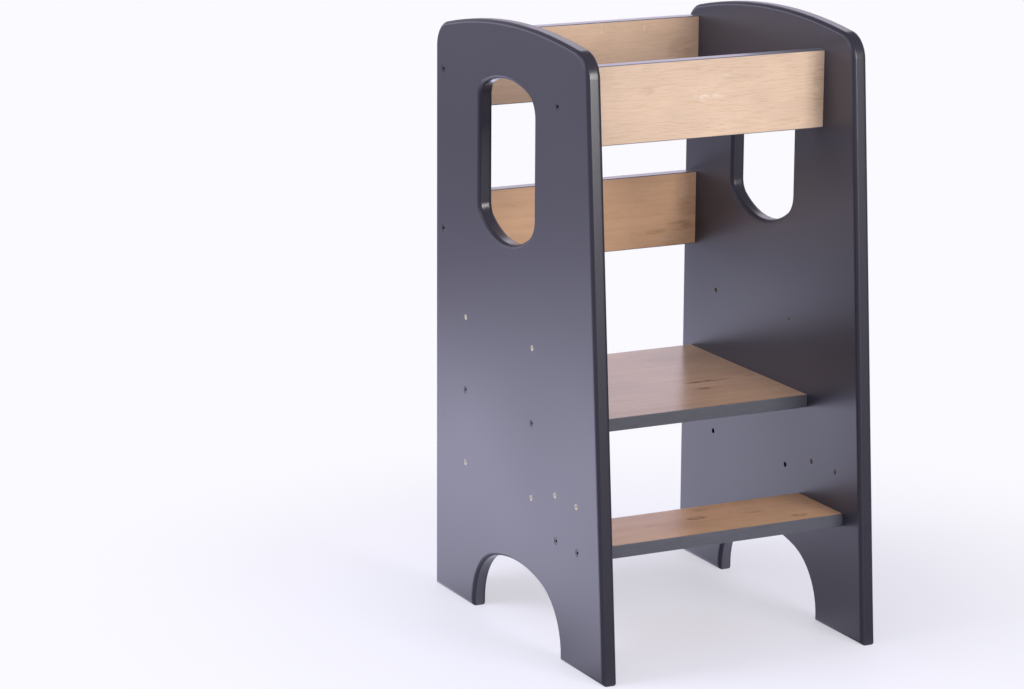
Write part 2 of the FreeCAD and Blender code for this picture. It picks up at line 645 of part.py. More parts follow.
for item in doc.Objects:
    if "Invalid" in item.State or "Error" in item.State:
        raise RuntimeError("%s: %s" % (item.Name, item.State))
    if item.TypeId == "Sketcher::SketchObject" and not item.FullyConstrained:
        raise RuntimeError("%s isn't fully constrained" % item.Name)
for part in sub_parts:
    if part.Shape.isNull() or not part.Shape.isValid():
        raise RuntimeError("%s has no valid shape" % part.Label)

os.makedirs("parts", exist_ok=True)
for part in sub_parts:
    part.Shape.exportStep("parts/%s.step" % part.Label)
    print("%-34s %2d solid(s) %10.1f mm3" % (part.Label, len(part.Shape.Solids), part.Shape.Volume))
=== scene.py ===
import json
import math

import bmesh
import bpy
from mathutils import Matrix, Vector


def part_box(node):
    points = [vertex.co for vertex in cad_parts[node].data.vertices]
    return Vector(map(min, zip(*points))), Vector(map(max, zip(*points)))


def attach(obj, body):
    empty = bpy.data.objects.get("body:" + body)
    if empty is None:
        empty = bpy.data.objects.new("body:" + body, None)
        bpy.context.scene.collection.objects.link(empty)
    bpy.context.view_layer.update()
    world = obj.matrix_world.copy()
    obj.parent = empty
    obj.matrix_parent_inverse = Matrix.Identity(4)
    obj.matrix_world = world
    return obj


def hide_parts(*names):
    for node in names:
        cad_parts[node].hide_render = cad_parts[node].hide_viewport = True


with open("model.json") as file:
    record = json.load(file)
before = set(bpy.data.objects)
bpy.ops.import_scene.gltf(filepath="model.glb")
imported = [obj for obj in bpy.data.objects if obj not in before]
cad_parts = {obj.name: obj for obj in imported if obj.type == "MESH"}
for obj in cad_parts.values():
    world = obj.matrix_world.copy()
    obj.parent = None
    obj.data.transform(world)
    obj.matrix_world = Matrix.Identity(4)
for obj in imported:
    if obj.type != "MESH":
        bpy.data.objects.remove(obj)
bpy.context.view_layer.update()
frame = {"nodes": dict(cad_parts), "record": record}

# A learning tower for the kitchen: two lacquered side panels, oak decor boards with
# grey edge bands, furniture screws and hidden dowels.


def newObject(name, mesh):
    piece = bpy.data.objects.new(name, mesh)
    bpy.context.scene.collection.objects.link(piece)
    return piece


def finishPiece(name, newName, mesh):
    piece = newObject(newName, mesh)
    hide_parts(name)
    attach(piece, "root")


# Node trees: an input takes a number, a colour or another node's output

def setInputs(tree, node, values):
    for key, value in values.items():
        if isinstance(value, bpy.types.NodeSocket):
            tree.links.new(value, node.inputs[key])
        else:
            node.inputs[key].default_value = value


def put(tree, kind, settings=None, values=()):
    node = tree.nodes.new(kind)
    for key, value in (settings or {}).items():
        setattr(node, key, value)
    setInputs(tree, node, values if isinstance(values, dict) else dict(enumerate(values)))
    return node


def calc(tree, operation, *values):
    return put(tree, "ShaderNodeMath", {"operation": operation}, values).outputs[0]


def times(tree, first, second):
    return calc(tree, "MULTIPLY", first, second)


def noise(tree, vector, scale, detail):
    node = put(tree, "ShaderNodeTexNoise", None, {"Vector": vector, "Scale": scale, "Detail": detail})
    return node.outputs["Fac"]


def blend(tree, share, first, second):          # of two colours
    node = put(tree, "ShaderNodeMix", {"data_type": "RGBA"}, {0: share, 6: first, 7: second})
    return node.outputs[2]


def between(tree, share, first, second):        # of two numbers
    return put(tree, "ShaderNodeMix", None, {0: share, 2: first, 3: second}).outputs[0]


def ramp(tree, value, low, high, start=0.0, end=1.0):
    node = put(tree, "ShaderNodeMapRange", {"interpolation_type": "SMOOTHSTEP"},
               {"Value": value, "From Min": low, "From Max": high, "To Min": start, "To Max": end})
    return node.outputs[0]


def place(tree, x, y, z):
    return put(tree, "ShaderNodeCombineXYZ", None, [x, y, z]).outputs[0]


def axesOf(tree, vector):
    return put(tree, "ShaderNodeSeparateXYZ", None, [vector]).outputs


def normalAxes(tree):
    return axesOf(tree, put(tree, "ShaderNodeTexCoord").outputs["Normal"])


def stretched(tree, vector, scales):
    return place(tree, *[times(tree, axis, scale) for axis, scale in zip(axesOf(tree, vector), scales)])


def scaled(tree, vector, share):
    return put(tree, "ShaderNodeVectorMath", {"operation": "SCALE"}, {0: vector, "Scale": share}).outputs[0]


def newMaterial(name):
    material = bpy.data.materials.new(name)
    material.use_nodes = True
    tree = material.node_tree
    tree.nodes.clear()
    shader = put(tree, "ShaderNodeBsdfPrincipled")
    put(tree, "ShaderNodeOutputMaterial", None, {"Surface": shader.outputs[0]})
    spot = put(tree, "ShaderNodeTexCoord").outputs["Object"]
    return material, tree, shader, spot


def bump(tree, height, depth):
    return put(tree, "ShaderNodeBump", None, {"Height": height, "Distance": depth, "Strength": 1.0}).outputs[0]


# Anthracite lacquer on fibreboard

record = frame["record"]
slots = {entry["node"]: entry["material_slot"] for entry in record["subparts"]}
mounts = {mount["name"]: mount for mount in record["mounts"]}

lacquer = {
    "colour": (0.028, 0.026, 0.036, 1),
    "clouded": (0.031, 0.029, 0.040, 1),
    "cloudSize": 4,                         # clouds per metre
    "core": (0.88, 0.81, 0.70, 1),          # raw fibreboard in the left panel's open holes
    "coreInShade": (0.27, 0.24, 0.215, 1),      # painted shade: the right panel's holes, seen from within, get a dimmer core
    "coreShadedBelowPlatform": (0.06, 0.055, 0.065, 1),    # painted shadow: its pair below the platform gets a dark core
    "fibreSize": 2600, "fibreShade": 0.85,
    "holeRadius": 0.0041, "holeFade": 0.0004, "holeRoughness": 0.9, "shadedPairReach": 0.01,
    "ior": 1.5,
    "roughness": (0.36, 0.42), "specular": 0.5,
    "edgeRoughness": 0.27, "edgeSpecular": 0.75,
    "roundedRoughness": 0.40, "roundedSpecular": 0.18,  # the routed rounding is sanded back and stays duller
    "flatFrom": (0.9, 0.995), "roundedFrom": (0.05, 0.3),   # by how far the normal points sideways
    "peelSize": 230, "peelDepth": 0.000008,     # orange peel
}


def spareHoles():
    holes = []
    for name, mount in mounts.items():
        if mount["kind"] == "bolt_pattern" and name.startswith("left"):
            half = mount["dims"]["spacing_x_mm"] / 2000     # metres from the middle of the pair
            holes += [(mount["pos_m"][1] + side * half, mount["pos_m"][2]) for side in (-1, 1)]
    return holes


def makeLacquer():
    material, tree, shader, spot = newMaterial("panelLacquer")
    clouds = noise(tree, spot, lacquer["cloudSize"], 1)
    x, y, z = axesOf(tree, spot)

    # the open holes show the bare board
    onPanel = place(tree, 0.0, y, z)
    nearest = None
    for hole in spareHoles():
        toHole = put(tree, "ShaderNodeVectorMath", {"operation": "DISTANCE"}, [onPanel, (0, *hole)])
        away = toHole.outputs["Value"]
        nearest = away if nearest is None else calc(tree, "MINIMUM", nearest, away)
    bare = ramp(tree, nearest, lacquer["holeRadius"], lacquer["holeRadius"] - lacquer["holeFade"])
    shade = lacquer["fibreShade"]
    outside = blend(tree, noise(tree, spot, lacquer["fibreSize"], 2), lacquer["core"],
                    tuple(part * shade for part in lacquer["core"][:3]) + (1,))
    # painted shade: the right panel's bores (x > 0) get a dimmer core, and the pair below the platform gets a
    # dark one
    pairHeight = mounts["right_lower_platform_holes"]["pos_m"][2]
    fromPair = calc(tree, "ABSOLUTE", calc(tree, "SUBTRACT", z, pairHeight))
    shadedPairMask = calc(tree, "LESS_THAN", fromPair, lacquer["shadedPairReach"])
    shadedInside = blend(tree, shadedPairMask, lacquer["coreInShade"], lacquer["coreShadedBelowPlatform"])
    coreAndShade = blend(tree, calc(tree, "GREATER_THAN", x, 0.0), outside, shadedInside)
    paint = blend(tree, clouds, lacquer["colour"], lacquer["clouded"])

    # the flat faces, the routed rounding and the narrow edges shine differently
    sideways = calc(tree, "ABSOLUTE", normalAxes(tree)[0])
    low, high = lacquer["flatFrom"]
    flat = ramp(tree, sideways, low, high)
    rounded = times(tree, ramp(tree, sideways, *lacquer["roundedFrom"]), ramp(tree, sideways, high, low))
    gloss = between(tree, rounded, lacquer["edgeRoughness"], lacquer["roundedRoughness"])
    gloss = between(tree, flat, gloss, ramp(tree, clouds, 0.0, 1.0, *lacquer["roughness"]))
    shine = between(tree, rounded, lacquer["edgeSpecular"], lacquer["roundedSpecular"])
    shine = between(tree, flat, shine, lacquer["specular"])
    setInputs(tree, shader, {
        "Base Color": blend(tree, bare, paint, coreAndShade),
        "Roughness": calc(tree, "MAXIMUM", gloss, times(tree, bare, lacquer["holeRoughness"])),
        "Specular IOR Level": times(tree, shine, calc(tree, "SUBTRACT", 1.0, bare)),
        "IOR": lacquer["ior"],
        "Normal": bump(tree, noise(tree, spot, lacquer["peelSize"], 2), lacquer["peelDepth"]),
    })
    return material


# Oak decor: the grain runs along X, and knots push it aside

oak = {
    "light": (0.60, 0.385, 0.245, 1),
    "dark": (0.49, 0.295, 0.175, 1),
    "pale": (0.665, 0.522, 0.386, 1),
    "pore": (0.30, 0.165, 0.09, 1),
    "fleck": (0.74, 0.54, 0.39, 1),
    "knot": (0.20, 0.095, 0.05, 1),
    "figure": (0.80, 0.68, 0.57, 1),
    "swaySize": (3.5, 9), "swayReach": 0.012, "knotPush": 0.7,
    # streaks per metre along and across the grain, shift of the pattern, detail
    "rings": (4, 95, 0.0, 4),
    "fibres": (26, 760, 3.0, 2),
    "pores": (50, 1300, 6.0, 2),
    "flecks": (45, 160, 9.0, 3),
    "clouds": (9, 14, 12.0, 3),
    "mottle": (45, 220, 0.0, 3),
    # where a pattern begins and where it is full, then its least and largest share
    "ringCut": (0.36, 0.68, 0.0, 0.36),
    "fibreCut": (0.45, 0.70), "fibreShare": 0.25,
    "poreCut": (0.60, 0.74), "poreShare": 0.34,
    "paleShare": 0.12,                      # pale boards show more fibre and pores
    "fleckCut": (0.60, 0.80, 0.0, 0.15),
    "figureCut": (0.42, 0.60),
    "crackCut": (0.34, 0.60, 0.12, 1.0), "knotShare": 0.85,
    "cloudCut": (0.25, 0.75, 0.91, 1.07),
    "markCut": (1.1, 0.1),
    "roughness": (0.3, 0.7, 0.22, 0.27),
    "specular": 0.6,
    "reliefCut": (0.58, 0.74), "fibreRelief": 0.25, "poreDepth": 0.00002,
}
# board: pattern offset, tone, paleness, and marks as (x, across, half length, half width, strength) in metres;
# a mark is a knot, or a pale figure where its strength is below zero. Tone and paleness are partly the decor's
# own variation and partly painted light: the step and the lower back rail are brightened, and the front rail is
# paled for its sheen
boards = {
    "platform_board": (3.1, (1.0, 1.0, 1.0), 0.0, [
        (0.103, 0.029, 0.045, 0.007, 1.0), (0.085, -0.007, 0.026, 0.006, 0.9),
        (0.176, 0.033, 0.012, 0.005, 0.5), (0.084, 0.044, 0.060, 0.014, 0.3),
        (-0.12, 0.14, 0.060, 0.014, 0.6)]),
    "step_board": (8.4, (1.23, 1.16, 1.06), 0.0, [
        (-0.002, -0.133, 0.018, 0.008, 1.0), (0.135, -0.180, 0.015, 0.007, 1.0),
        (0.103, -0.082, 0.022, 0.008, 0.4), (0.022, -0.100, 0.016, 0.007, 0.4),
        (0.088, -0.140, 0.028, 0.005, 0.35), (-0.070, -0.140, 0.022, 0.006, 0.3)]),
    "top_front_rail_board": (14.2, (0.98, 0.94, 0.91), 0.85, [
        (-0.014, 0.766, 0.010, 0.006, -0.62), (0.004, 0.760, 0.010, 0.006, -0.55),
        (0.026, 0.762, 0.012, 0.005, -0.45), (0.036, 0.785, 0.012, 0.007, -0.4),
        # the last mark darkens the rail's right end, next to the far panel, in streaks of the knot pattern:
        # painted shade
        (-0.085, 0.775, 0.016, 0.008, 0.22), (0.183, 0.765, 0.012, 0.045, 0.25)]),
    "top_back_rail_board": (21.7, (1.03, 1.03, 1.02), 0.42, [
        (0.032, 0.804, 0.003, 0.009, -0.3), (0.102, 0.803, 0.003, 0.008, -0.3),
        (0.165, 0.766, 0.030, 0.022, 0.2), (-0.05, 0.77, 0.050, 0.012, 0.3)]),
    "lower_back_rail_board": (29.3, (1.17, 1.14, 1.10), 0.0, [
        (0.166, 0.506, 0.026, 0.009, 0.55), (0.182, 0.534, 0.030, 0.020, 0.25),
        (0.125, 0.500, 0.022, 0.006, 0.3), (0.172, 0.560, 0.010, 0.020, -0.2),
        (0.150, 0.490, 0.030, 0.006, -0.2)]),
}


def makeOak(name, offset, toneAndLight, palenessAndSheen, marks, upright):
    material, tree, shader, spot = newMaterial(name)
    axes = axesOf(tree, spot)
    along, across = axes[0], axes[2 if upright else 1]

    # the grain sways, and every knot bends it
    alongSize, acrossSize = oak["swaySize"]
    swayPoint = place(tree, times(tree, along, alongSize), times(tree, across, acrossSize), offset)
    sway = calc(tree, "SUBTRACT", noise(tree, swayPoint, 1, 2), 0.5)
    bent = calc(tree, "MULTIPLY_ADD", sway, oak["swayReach"], across)
    heart = figure = 0.0
    for x, middle, halfLength, halfWidth, strength in marks:
        lengthwise = calc(tree, "DIVIDE", calc(tree, "SUBTRACT", along, x), halfLength)
        crosswise = calc(tree, "DIVIDE", calc(tree, "SUBTRACT", across, middle), halfWidth)
        reach = calc(tree, "ADD", times(tree, lengthwise, lengthwise), times(tree, crosswise, crosswise))
        bell = calc(tree, "POWER", math.e, times(tree, reach, -1.0))
        push = times(tree, times(tree, bell, crosswise), -oak["knotPush"] * halfWidth * abs(strength))
        bent = calc(tree, "ADD", bent, push)
        mark = times(tree, ramp(tree, reach, *oak["markCut"]), abs(strength))
        if strength > 0:
            heart = calc(tree, "MAXIMUM", heart, mark)
        else:
            figure = calc(tree, "MAXIMUM", figure, mark)

    def streaks(pattern):
        alongScale, acrossScale, shift, detail = oak[pattern]
        point = place(tree, times(tree, along, alongScale), times(tree, bent, acrossScale), offset + shift)
        return noise(tree, point, 1, detail)

    fibres, pores, mottle = streaks("fibres"), streaks("pores"), streaks("mottle")
    # the board's tone scales its colours; on the step and the lower back rail this is painted light
    light, dark, pale = [tuple(part * share for part, share in zip(oak[key], toneAndLight)) + (1,)
                         for key in ("light", "dark", "pale")]
    more = oak["paleShare"] * palenessAndSheen
    body = blend(tree, ramp(tree, streaks("rings"), *oak["ringCut"]), light, dark)
    # paleness blends towards the pale colour; on the front rail it is partly a painted sheen
    body = blend(tree, palenessAndSheen, body, pale)
    body = blend(tree, ramp(tree, fibres, *oak["fibreCut"], 0.0, oak["fibreShare"] + more), body, dark)
    body = blend(tree, ramp(tree, streaks("flecks"), *oak["fleckCut"]), body, oak["fleck"])
    body = blend(tree, ramp(tree, pores, *oak["poreCut"], 0.0, oak["poreShare"] + more), body, oak["pore"])
    body = blend(tree, times(tree, figure, ramp(tree, mottle, *oak["figureCut"])), body, oak["figure"])
    cracked = times(tree, heart, ramp(tree, mottle, *oak["crackCut"]))
    body = blend(tree, times(tree, cracked, oak["knotShare"]), body, oak["knot"])
    relief = calc(tree, "MULTIPLY_ADD", ramp(tree, pores, *oak["reliefCut"]), -1.0,
                  times(tree, fibres, oak["fibreRelief"]))
    setInputs(tree, shader, {
        "Base Color": scaled(tree, body, ramp(tree, streaks("clouds"), *oak["cloudCut"])),
        "Roughness": ramp(tree, fibres, *oak["roughness"]),
        "Specular IOR Level": oak["specular"],
        "Normal": bump(tree, relief, oak["poreDepth"]),
    })
    return material


# Grey edge bands

band = {
    "colour": (0.082, 0.084, 0.100, 1),
    "streak": (0.098, 0.100, 0.117, 1),
    "streakSize": (40, 900, 900), "streakCut": (0.35, 0.7),
    "roughness": 0.34, "specular": 0.6,
    "topFrom": (0.9, 0.99), "topCoat": 0.9, "topRoughness": 0.12,   # the upper faces are wiped smooth
    "pitSize": 1800, "pitDepth": 0.000012,
}


def makeBand():
    material, tree, shader, spot = newMaterial("edgeBandGrey")
    drawn = noise(tree, stretched(tree, spot, band["streakSize"]), 1, 3)
    setInputs(tree, shader, {
        "Base Color": blend(tree, ramp(tree, drawn, *band["streakCut"]), band["colour"], band["streak"]),
        "Roughness": band["roughness"],
        "Specular IOR Level": band["specular"],
        "Coat Weight": ramp(tree, normalAxes(tree)[2], *band["topFrom"], 0.0, band["topCoat"]),
        "Coat Roughness": band["topRoughness"],
        "Normal": bump(tree, noise(tree, spot, band["pitSize"], 2), band["pitDepth"]),
    })
    return material


# Zinc-plated screws and beech dowels

steel = {
    "colour": (0.09, 0.09, 0.095, 1), "dull": (0.04, 0.04, 0.043, 1),
    "stainSize": 700, "stainCut": (0.4, 0.7),
    "roughness": (0.3, 0.7, 0.28, 0.5),     # from and to which stain, then the roughness at both
    "pitSize": 2500, "pitDepth": 0.00001,
}
beech = {
    "light": (0.70, 0.52, 0.35, 1), "dark": (0.55, 0.37, 0.23, 1),
    "grainSize": (60, 900, 900), "grainCut": (0.45, 0.7), "grainDepth": 0.00003,
    "roughness": 0.6,
}


def makeSteel():
    material, tree, shader, spot = newMaterial("screwSteel")
    stain = noise(tree, spot, steel["stainSize"], 4)
    setInputs(tree, shader, {
        "Base Color": blend(tree, ramp(tree, stain, *steel["stainCut"]), steel["colour"], steel["dull"]),
        "Roughness": ramp(tree, stain, *steel["roughness"]),
        "Metallic": 1.0,
        "Normal": bump(tree, noise(tree, spot, steel["pitSize"], 2), steel["pitDepth"]),
    })
    return material


def makeBeech():
    material, tree, shader, spot = newMaterial("dowelBeech")
    grain = noise(tree, stretched(tree, spot, beech["grainSize"]), 1, 3)
    setInputs(tree, shader, {
        "Base Color": blend(tree, ramp(tree, grain, *beech["grainCut"]), beech["light"], beech["dark"]),
        "Roughness": beech["roughness"],
        "Normal": bump(tree, grain, beech["grainDepth"]),
    })
    return material


finishes = {
    "panel_lacquer": makeLacquer(),
    "edge_band": makeBand(),
    "screw_steel": makeSteel(),
    "dowel_beech": makeBeech(),
}
print("materials made")

# Every imported node gets its finish; the boards get one each, so that no two look alike, and each carries its
# own tone, partly painted light

for name, node in frame["nodes"].items():
    if name in boards:
        material = makeOak("oak_" + name, *boards[name], "rail" in name)
    else:
        material = finishes[slots[name]]
    for slot in node.material_slots:
        slot.material = material
print("nodes finished")

# Side panels and edge bands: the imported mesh, merged and smoothed, so that the rounded edges catch the light

smooth = {"angle": math.radians(32), "merge": 0.000002, "flatWeight": 100}


def smoothCopy(name, newName):
    mesh = frame["nodes"][name].data.copy()
    work = bmesh.new()
    work.from_mesh(mesh)
    bmesh.ops.remove_doubles(work, verts=work.verts, dist=smooth["merge"])
    for face in work.faces:
        face.smooth = True
    for edge in work.edges:
        edge.smooth = len(edge.link_faces) == 2 and edge.calc_face_angle() < smooth["angle"]
    work.to_mesh(mesh)
    work.free()
    rough = newObject(newName + "Rough", mesh)
    weight = rough.modifiers.new("flats", "WEIGHTED_NORMAL")
    weight.keep_sharp = True
    weight.weight = smooth["flatWeight"]
    done = bpy.data.meshes.new_from_object(rough.evaluated_get(bpy.context.evaluated_depsgraph_get()))
    bpy.data.objects.remove(rough)
    finishPiece(name, newName, done)


for name in sorted(slots):
    if slots[name] in ("panel_lacquer", "edge_band"):
        smoothCopy(name, name + "_smooth")
print("panels and bands smoothed")

# Screws and dowels: one of each in mesh code, set in place by geometry nodes

screw = {
    "length": 0.050, "headRadius": 0.005, "neckRadius": 0.0035, "neckEnd": 0.014, "headCone": math.radians(30),
    "rim": 0.0003, "rimBend": (0.3, 0.35),      # the head's rim, and how its rounding turns
    "socket": 0.004, "socketDepth": 0.0032, "socketCone": 0.0006, "socketTip": 0.0004, "socketLip": 0.0002,
    "coreRadius": 0.0025, "pitch": 0.003, "threadSlope": 4,
    "threadFade": 4,                            # rings over which the thread rises at both ends
    "tipRadius": 0.0015, "tipLength": 0.004, "sides": 36, "ringStep": 0.0005,
}
dowel = {"length": 0.030, "radius": 0.004, "chamfer": 0.001, "flutes": 16, "fluteDepth": 0.00018, "sides": 64}


def turned(name, rings, sides):         # rings along X: (x, radius), or a radius that depends on the turn
    work = bmesh.new()
    loops = []
    for x, radius in rings:
        loop = []
        for at in range(sides):
            turn = 2 * math.pi * at / sides
            reach = radius(turn) if callable(radius) else radius
            loop.append(work.verts.new((x, reach * math.cos(turn), reach * math.sin(turn))))
        loops.append(loop)
    for near, far in zip(loops, loops[1:]):
        for at in range(sides):
            after = (at + 1) % sides
            work.faces.new((near[at], near[after], far[after], far[at]))
    work.faces.new(loops[0])
    work.faces.new(loops[-1])
    bmesh.ops.recalc_face_normals(work, faces=work.faces)
    for face in work.faces:
        face.smooth = len(face.verts) == 4
    for edge in work.edges:
        edge.smooth = edge.calc_face_angle() < smooth["angle"]
    mesh = bpy.data.meshes.new(name)
    work.to_mesh(mesh)
    work.free()
    return newObject(name, mesh)


def makeScrew():
    half = screw["socket"] / 2

    def hexagon(turn):
        return half / math.cos((turn + math.pi / 6) % (math.pi / 3) - math.pi / 6)

    cone = (screw["headRadius"] - screw["neckRadius"]) / math.tan(screw["headCone"])
    rim, lip, head = screw["rim"], screw["socketLip"], screw["headRadius"]
    firstBend, lastBend = screw["rimBend"]
    rings = [
        (screw["socketDepth"], screw["socketTip"]),
        (screw["socketDepth"] - screw["socketCone"], hexagon),
        (lip, hexagon),
        (0.0, lambda turn: hexagon(turn) + lip),
        (0.0, head - rim),
        (firstBend * rim, head - firstBend * rim),
        (rim, head - rim * lastBend),
        (cone, screw["neckRadius"]),
        (screw["neckEnd"], screw["neckRadius"]),
    ]
    threadEnd = screw["length"] - screw["tipLength"]
    steps = round((threadEnd - screw["neckEnd"]) / screw["ringStep"])
    for step in range(1, steps):
        x = screw["neckEnd"] + step * screw["ringStep"]
        fade = min(1.0, step / screw["threadFade"], (steps - step) / screw["threadFade"])

        def thread(turn, x=x, fade=fade):
            phase = (x / screw["pitch"] - turn / (2 * math.pi)) % 1.0
            crest = max(0.0, 1 - abs(phase - 0.5) * screw["threadSlope"]) * fade
            return screw["coreRadius"] + (screw["neckRadius"] - screw["coreRadius"]) * crest

        rings.append((x, thread))
    rings += [(threadEnd, screw["coreRadius"]), (screw["length"], screw["tipRadius"])]
    return turned("screwMaster", rings, screw["sides"])


def makeDowel():
    def fluted(turn):
        return dowel["radius"] - dowel["fluteDepth"] * (0.5 - 0.5 * math.cos(dowel["flutes"] * turn))

    small = dowel["radius"] - dowel["chamfer"]
    end = dowel["length"]
    rings = [(0.0, small), (dowel["chamfer"], fluted), (end - dowel["chamfer"], fluted), (end, small)]
    return turned("dowelMaster", rings, dowel["sides"])


def fastenerTree():
    tree = bpy.data.node_groups.new("fastenersInPlace", "GeometryNodeTree")
    sockets = {}
    for name, kind in (("Places", "Geometry"), ("Fastener", "Object"), ("Seed", "Int"), ("Finish", "Material")):
        made = tree.interface.new_socket(name, in_out="INPUT", socket_type="NodeSocket" + kind)
        sockets[name] = made.identifier
    tree.interface.new_socket("Fasteners", in_out="OUTPUT", socket_type="NodeSocketGeometry")
    start = put(tree, "NodeGroupInput")
    facing = put(tree, "GeometryNodeInputNamedAttribute", {"data_type": "FLOAT"}, ["facing"]).outputs[0]
    spin = put(tree, "FunctionNodeRandomValue", {"data_type": "FLOAT"},
               {2: 0.0, 3: math.pi / 3, "Seed": start.outputs["Seed"]}).outputs[1]
    aim = place(tree, spin, 0.0, facing)
    master = put(tree, "GeometryNodeObjectInfo", {"transform_space": "ORIGINAL"}, [start.outputs["Fastener"]])
    spread = put(tree, "GeometryNodeInstanceOnPoints", None,
                 {"Points": start.outputs["Places"], "Instance": master.outputs["Geometry"], "Rotation": aim})
    solid = put(tree, "GeometryNodeRealizeInstances", None, [spread.outputs[0]])
    painted = put(tree, "GeometryNodeSetMaterial", None,
                  {"Geometry": solid.outputs[0], "Material": start.outputs["Finish"]})
    put(tree, "NodeGroupOutput", None, [painted.outputs[0]])
    return tree, sockets


fasteners, fastenerSockets = fastenerTree()
samePlace = 0.001                       # two ends closer than this are one


def places(name, radius):               # (x, y, z, turn about Z) of each fastener, from the box of its node
    low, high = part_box(name)

    def ends(first, last):
        return [first] if last - first < samePlace else [first, last]

    found = []
    for y in ends(low[1] + radius, high[1] - radius):
        for z in ends(low[2] + radius, high[2] - radius):
            if low[0] < 0:
                found.append((low[0], y, z, 0.0))
            if high[0] > 0:
                found.append((high[0], y, z, math.pi))
    return found


def setFasteners(name, newName, master, radius, seed):
    found = places(name, radius)
    mesh = bpy.data.meshes.new(newName)
    mesh.from_pydata([spot[:3] for spot in found], [], [])
    facing = mesh.attributes.new("facing", "FLOAT", "POINT")
    for at, spot in enumerate(found):
        facing.data[at].value = spot[3]
    holder = newObject(newName + "Places", mesh)
    modifier = holder.modifiers.new("fasteners", "NODES")
    modifier.node_group = fasteners
    modifier[fastenerSockets["Fastener"]] = master
    modifier[fastenerSockets["Seed"]] = seed
    modifier[fastenerSockets["Finish"]] = finishes[slots[name]]
    done = bpy.data.meshes.new_from_object(holder.evaluated_get(bpy.context.evaluated_depsgraph_get()))
    bpy.data.objects.remove(holder)
    finishPiece(name, newName, done)


screwMaster = makeScrew()
dowelMaster = makeDowel()
for count, name in enumerate(sorted(slots)):
    if name.endswith("_screws"):
        setFasteners(name, name + "_set", screwMaster, screw["headRadius"], count)
    elif name.endswith("_dowels"):
        setFasteners(name, name + "_set", dowelMaster, dowel["radius"], count)
bpy.data.objects.remove(screwMaster)
bpy.data.objects.remove(dowelMaster)
print("screws and dowels set")

# Studio: pale floor, white surroundings, soft lamps and the camera

studio = {
    "backdrop": (0.965, 0.956, 1.0, 1),
    "horizon": (0.81, 0.80, 0.87, 1), "zenith": (0.52, 0.51, 0.57, 1), "fromLeft": 0.3, "fromBack": 0.1,
    # what gloss sees above the floor, by direction: a wall at the back right, a low back, a dark room
    "wallLow": (0.86, 0.78, 1.0, 1), "wallHigh": (2.8, 2.65, 3.0, 1),
    "wallSide": (-0.3, 0.15), "wallRise": (0.15, 0.6), "wallTop": (0.58, 0.34),
    "backLow": (1.9, 1.84, 2.35, 1), "backSide": (-0.1, 0.35), "backTop": (0.40, 0.10),
    "room": (0.13, 0.12, 0.15, 1),
}
paper = {
    "size": 24.0,
    "colour": (0.76, 0.775, 0.92, 1), "roughness": 0.55, "specular": 0.25,
    # the floor turns into the backdrop: metres from the tower, then the shares there
    "fade": (0.15, 1.05, 0.49, 1.0),
    # what gloss sees on the floor, a painted reflection: a glowing sheet, lit behind the tower, dark in front
    "lit": (3.12, 3.1, 4.02, 1), "unlit": (0.30, 0.29, 0.38, 1), "litReach": (1.2, 2.35),
    # painted shade: the sheet is darker under the tower
    "under": (0.95, 0.93, 1.15, 1), "underReach": (0.15, 0.42),
    "frontNear": (0.05, 0.045, 0.06, 1), "frontFar": (0.36, 0.34, 0.40, 1), "frontReach": (1.5, 7.0),
    "frontLine": (-0.12, -0.32),
    "shaded": (-0.55, -0.25, 1.0, 0.73),    # painted shade: the sheet is darker on the right, by X
    "deep": (0.7, 1.5, 0.9, 1.03),          # painted light: the sheet is a little brighter far behind, by Y
}


def rayKinds(tree):
    rays = put(tree, "ShaderNodeLightPath").outputs
    return rays["Is Camera Ray"], calc(tree, "MAXIMUM", rays["Is Glossy Ray"], rays["Is Transmission Ray"])


def makeWorld():
    world = bpy.data.worlds.new("studio")
    bpy.context.scene.world = world
    world.use_nodes = True
    tree = world.node_tree
    tree.nodes.clear()
    x, y, z = axesOf(tree, put(tree, "ShaderNodeTexCoord").outputs["Generated"])
    camera, gloss = rayKinds(tree)
    behind = ramp(tree, y, *studio["backSide"])
    toRight, below = ramp(tree, x, *studio["wallSide"]), ramp(tree, z, *studio["wallTop"])
    wall = times(tree, times(tree, behind, toRight), below)
    wallColour = blend(tree, ramp(tree, z, *studio["wallRise"]), studio["wallLow"], studio["wallHigh"])
    back = times(tree, behind, ramp(tree, z, *studio["backTop"]))
    around = blend(tree, wall, blend(tree, back, studio["room"], studio["backLow"]), wallColour)
    ambient = blend(tree, calc(tree, "ABSOLUTE", z), studio["horizon"], studio["zenith"])
    fromBack = calc(tree, "MULTIPLY_ADD", y, studio["fromBack"], 1.0)
    ambient = scaled(tree, ambient, calc(tree, "MULTIPLY_ADD", x, -studio["fromLeft"], fromBack))
    seen = blend(tree, camera, blend(tree, gloss, ambient, around), studio["backdrop"])
    light = put(tree, "ShaderNodeBackground", None, {"Color": seen, "Strength": 1.0})
    put(tree, "ShaderNodeOutputWorld", None, {"Surface": light.outputs[0]})


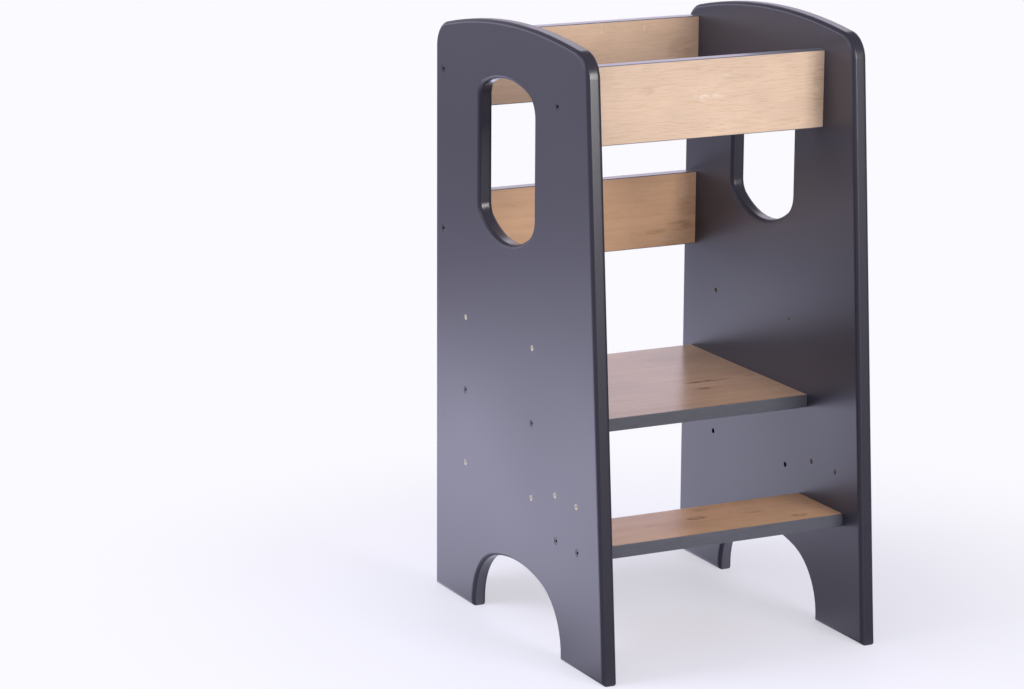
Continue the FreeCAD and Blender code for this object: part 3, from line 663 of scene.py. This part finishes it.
def makeFloor():
    half = paper["size"] / 2
    mesh = bpy.data.meshes.new("studioFloor")
    corners = [(-half, -half, 0), (half, -half, 0), (half, half, 0), (-half, half, 0)]
    mesh.from_pydata(corners, [], [(0, 1, 2, 3)])
    floor = newObject("studioFloor", mesh)
    material, tree, shader, spot = newMaterial("floorPaper")
    setInputs(tree, shader, {"Base Color": paper["colour"], "Roughness": paper["roughness"],
                             "Specular IOR Level": paper["specular"]})
    away = put(tree, "ShaderNodeVectorMath", {"operation": "LENGTH"}, [spot]).outputs["Value"]
    x, y = axesOf(tree, spot)[:2]
    camera, gloss = rayKinds(tree)
    behind = blend(tree, ramp(tree, away, *paper["litReach"]), paper["lit"], paper["unlit"])
    behind = blend(tree, ramp(tree, away, *paper["underReach"]), paper["under"], behind)
    behind = scaled(tree, behind, times(tree, ramp(tree, x, *paper["shaded"]), ramp(tree, y, *paper["deep"])))
    before = blend(tree, ramp(tree, away, *paper["frontReach"]), paper["frontNear"], paper["frontFar"])
    sheet = blend(tree, ramp(tree, y, *paper["frontLine"]), behind, before)
    # the floor glows: the backdrop colour for camera rays, and for glossy rays the painted reflection of a lit
    # and shaded floor
    glow = put(tree, "ShaderNodeEmission", None,
               {"Color": blend(tree, gloss, studio["backdrop"], sheet), "Strength": 1.0})
    share = calc(tree, "ADD", times(tree, camera, ramp(tree, away, *paper["fade"])), gloss)
    mixed = put(tree, "ShaderNodeMixShader", None, [share, shader.outputs[0], glow.outputs[0]])
    output = next(node for node in tree.nodes if node.type == "OUTPUT_MATERIAL")
    setInputs(tree, output, {"Surface": mixed.outputs[0]})
    mesh.materials.append(material)


lamps = {
    # name: place, aim, size, watts, colour
    "key": ((0.75, -3.17, 1.46), (0, 0, 0.45), 1.45, 73, (1.0, 0.985, 0.96)),
    "fill": ((-2.4, 0.3, 2.1), (0, 0, 0.5), 1.4, 50, (0.93, 0.92, 1.0)),
}


def makeLamps():
    for name, (spot, aim, size, watts, colour) in lamps.items():
        light = bpy.data.lights.new(name, "AREA")
        light.shape = "SQUARE"
        light.size = size
        light.energy = watts
        light.color = colour
        lamp = newObject(name, light)
        lamp.location = spot
        lamp.rotation_euler = (Vector(aim) - Vector(spot)).to_track_quat("-Z", "Y").to_euler()


view = {
    "place": (-2.3838, -4.3069, 1.5775),
    "heading": math.radians(26.66),         # from +Y towards +X
    "down": math.radians(13.56),
    "roll": math.radians(0.31),
    "lens": 127.28, "sensor": 36, "farClip": 100,
}


def makeCamera():
    heading, down, roll = view["heading"], view["down"], view["roll"]
    ahead = Vector((math.sin(heading) * math.cos(down), math.cos(heading) * math.cos(down), -math.sin(down)))
    level = Vector((math.cos(heading), -math.sin(heading), 0))
    rise = level.cross(ahead)
    right = level * math.cos(roll) + rise * math.sin(roll)
    up = rise * math.cos(roll) - level * math.sin(roll)
    lens = bpy.data.cameras.new("camera")
    lens.lens = view["lens"]
    lens.sensor_width = view["sensor"]
    lens.clip_end = view["farClip"]
    camera = newObject("camera", lens)
    turn = Matrix((right, up, -ahead)).transposed().to_4x4()
    camera.matrix_world = Matrix.Translation(view["place"]) @ turn
    bpy.context.scene.camera = camera


makeWorld()
makeFloor()
makeLamps()
makeCamera()
bpy.context.scene.view_settings.view_transform = "Standard"
print("studio ready")
